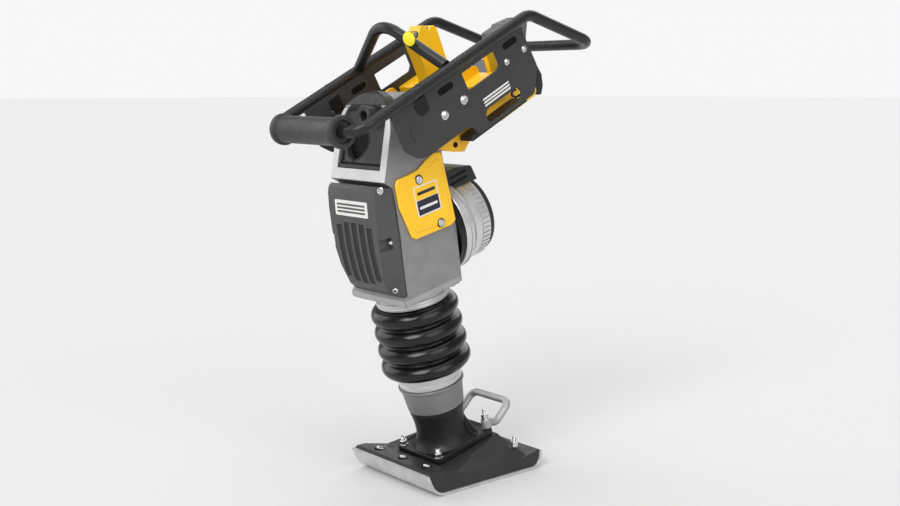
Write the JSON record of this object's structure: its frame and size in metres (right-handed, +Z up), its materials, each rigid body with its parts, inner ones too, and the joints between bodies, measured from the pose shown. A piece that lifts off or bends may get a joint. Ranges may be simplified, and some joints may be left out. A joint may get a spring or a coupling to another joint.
{
  "type": "jumping jack rammer",
  "caption": "Upright soil rammer: curled shoe, bellowed ram leg, geared crank drive behind a crankcase, and a tubular handle frame with battery bay.",
  "frame": {"origin": "the point where the leg axis meets the floor, in the middle of the flat of the sole", "axes": "+Z up, -Y the way the machine walks, +Y the operator, +X the machine's left"},
  "size_m": [0.347, 0.7193, 1.056],
  "materials": {
    "cast_aluminium": "cast and lightly textured",
    "bright_aluminium": "machined",
    "steel": "ground",
    "zinc": "zinc plated",
    "sole_steel": "rolled wear plate",
    "black_casting": "satin black",
    "black_pad": "moulded, fine texture",
    "black_tube": "satin powder coat",
    "charcoal_plate": "fine textured powder coat",
    "grey_cover": "moulded, fine texture",
    "black_rubber": "semi-gloss rubber",
    "yellow_plastic": "satin moulded",
    "yellow_paint": "powder coat",
    "dark_plastic": "moulded, fine texture",
    "red_plastic": "moulded",
    "grey_plastic": "moulded",
    "spring_steel": "oil blackened"
  },
  "bodies": {
    "crankcase": {"crankcase": "cast_aluminium", "front_cover": "grey_cover", "top_cover": "dark_plastic", "guide_tube": "steel", "base_flange": "bright_aluminium", "upper_bellows_clamp": "bright_aluminium", "side_panel_left": "yellow_plastic", "side_panel_right": "yellow_plastic", "motor_seal": "black_rubber", "motor_flange": "bright_aluminium", "motor_housing": "bright_aluminium", "motor_stator": "steel", "motor_rear_cap": "dark_plastic", "motor_connector_box": "dark_plastic", "crank_bearing": "steel", "pinion_bearing": "steel", "mount_yoke": "yellow_paint", "rubber_mount_front_left": "black_rubber", "rubber_mount_front_right": "black_rubber", "rubber_mount_rear_left": "black_rubber", "rubber_mount_rear_right": "black_rubber"},
    "foot": {"sole_plate": "sole_steel", "shoe_pad": "black_pad", "foot_casting": "black_casting", "flange_stud_front_left": "zinc", "flange_stud_front_right": "zinc", "flange_stud_rear_left": "zinc", "flange_stud_rear_right": "zinc", "lift_loop": "cast_aluminium", "spring_cylinder": "steel", "spring_cylinder_cap": "steel", "lower_collar": "bright_aluminium", "lower_bellows_clamp": "bright_aluminium", "bellows": "black_rubber", "upper_spring": "spring_steel", "lower_spring": "spring_steel"},
    "ram": {"ram_rod": "steel", "spring_piston": "steel", "wrist_pin_front": "steel", "wrist_pin_rear": "steel"},
    "crank": {"crankshaft": "steel", "crank_gear": "steel"},
    "conrod": {"connecting_rod": "steel"},
    "rotor": {"motor_rotor": "steel", "drive_pinion": "steel"},
    "handle": {"rear_loop_tube": "black_tube", "front_tube_left": "black_tube", "front_tube_right": "black_tube", "lift_bail": "black_tube", "side_plate_left": "charcoal_plate", "side_plate_right": "charcoal_plate", "belly_guard": "dark_plastic", "control_base": "yellow_plastic", "control_tower": "yellow_plastic", "battery_tub": "yellow_plastic"},
    "roller": {"roller": "black_rubber"},
    "battery": {"battery_pack": "grey_plastic"},
    "latch": {"battery_latch": "dark_plastic"},
    "start": {"start_button": "grey_plastic"},
    "stop": {"stop_button": "red_plastic"}
  },
  "joints": [
    {"name": "foot_slide", "type": "slide", "parent": "crankcase", "child": "foot", "axis": [0, -0.2571, 0.9664], "range_m": [-0.03, 0.03], "stiffness_N_per_m": 40000, "springref_m": -0.012, "deforming": ["bellows", "upper_spring", "lower_spring"]},
    {"name": "ram_slide", "type": "slide", "parent": "crankcase", "child": "ram", "axis": [0, -0.2571, 0.9664], "range_m": [-0.056, 0]},
    {"name": "crank_spin", "type": "hinge", "parent": "crankcase", "child": "crank", "pos_m": [0, -0.16868, 0.63394], "axis": [0, 0.9664, 0.2571], "continuous": true},
    {"name": "conrod_swing", "type": "hinge", "parent": "crank", "child": "conrod", "pos_m": [0, -0.17588, 0.661], "axis": [0, 0.9664, 0.2571], "continuous": true},
    {"name": "rotor_spin", "type": "hinge", "parent": "crankcase", "child": "rotor", "pos_m": [0, -0.14682, 0.5518], "axis": [0, 0.9664, 0.2571], "continuous": true},
    {"name": "handle_sway", "type": "hinge", "parent": "crankcase", "child": "handle", "pos_m": [0, -0.12125, 0.8476], "axis": [1, 0, 0], "range_deg": [-2, 2], "stiffness_Nm_per_rad": 6000},
    {"name": "roller_spin", "type": "hinge", "parent": "handle", "child": "roller", "pos_m": [0, -0.37478, 0.80122], "axis": [1, 0, 0], "continuous": true},
    {"name": "battery_slide", "type": "slide", "parent": "handle", "child": "battery", "axis": [0, -0.471, 0.8821], "range_m": [0, 0.16]},
    {"name": "latch_swing", "type": "hinge", "parent": "handle", "child": "latch", "pos_m": [0, 0.19271, 0.87637], "axis": [-1, 0, 0], "range_deg": [0, 50], "stiffness_Nm_per_rad": 1, "springref_deg": -17.19},
    {"name": "start_press", "type": "slide", "parent": "handle", "child": "start", "axis": [0, 0.9568, -0.2907], "range_m": [0, 0.0025], "stiffness_N_per_m": 800, "springref_m": -0.001},
    {"name": "stop_press", "type": "slide", "parent": "handle", "child": "stop", "axis": [0, 0.9568, -0.2907], "range_m": [0, 0.0025], "stiffness_N_per_m": 800, "springref_m": -0.001}
  ],
  "couplings": [
    {"joint": "conrod_swing", "follows": "crank_spin", "ratio": -1},
    {"joint": "rotor_spin", "follows": "crank_spin", "ratio": -4}
  ]
}
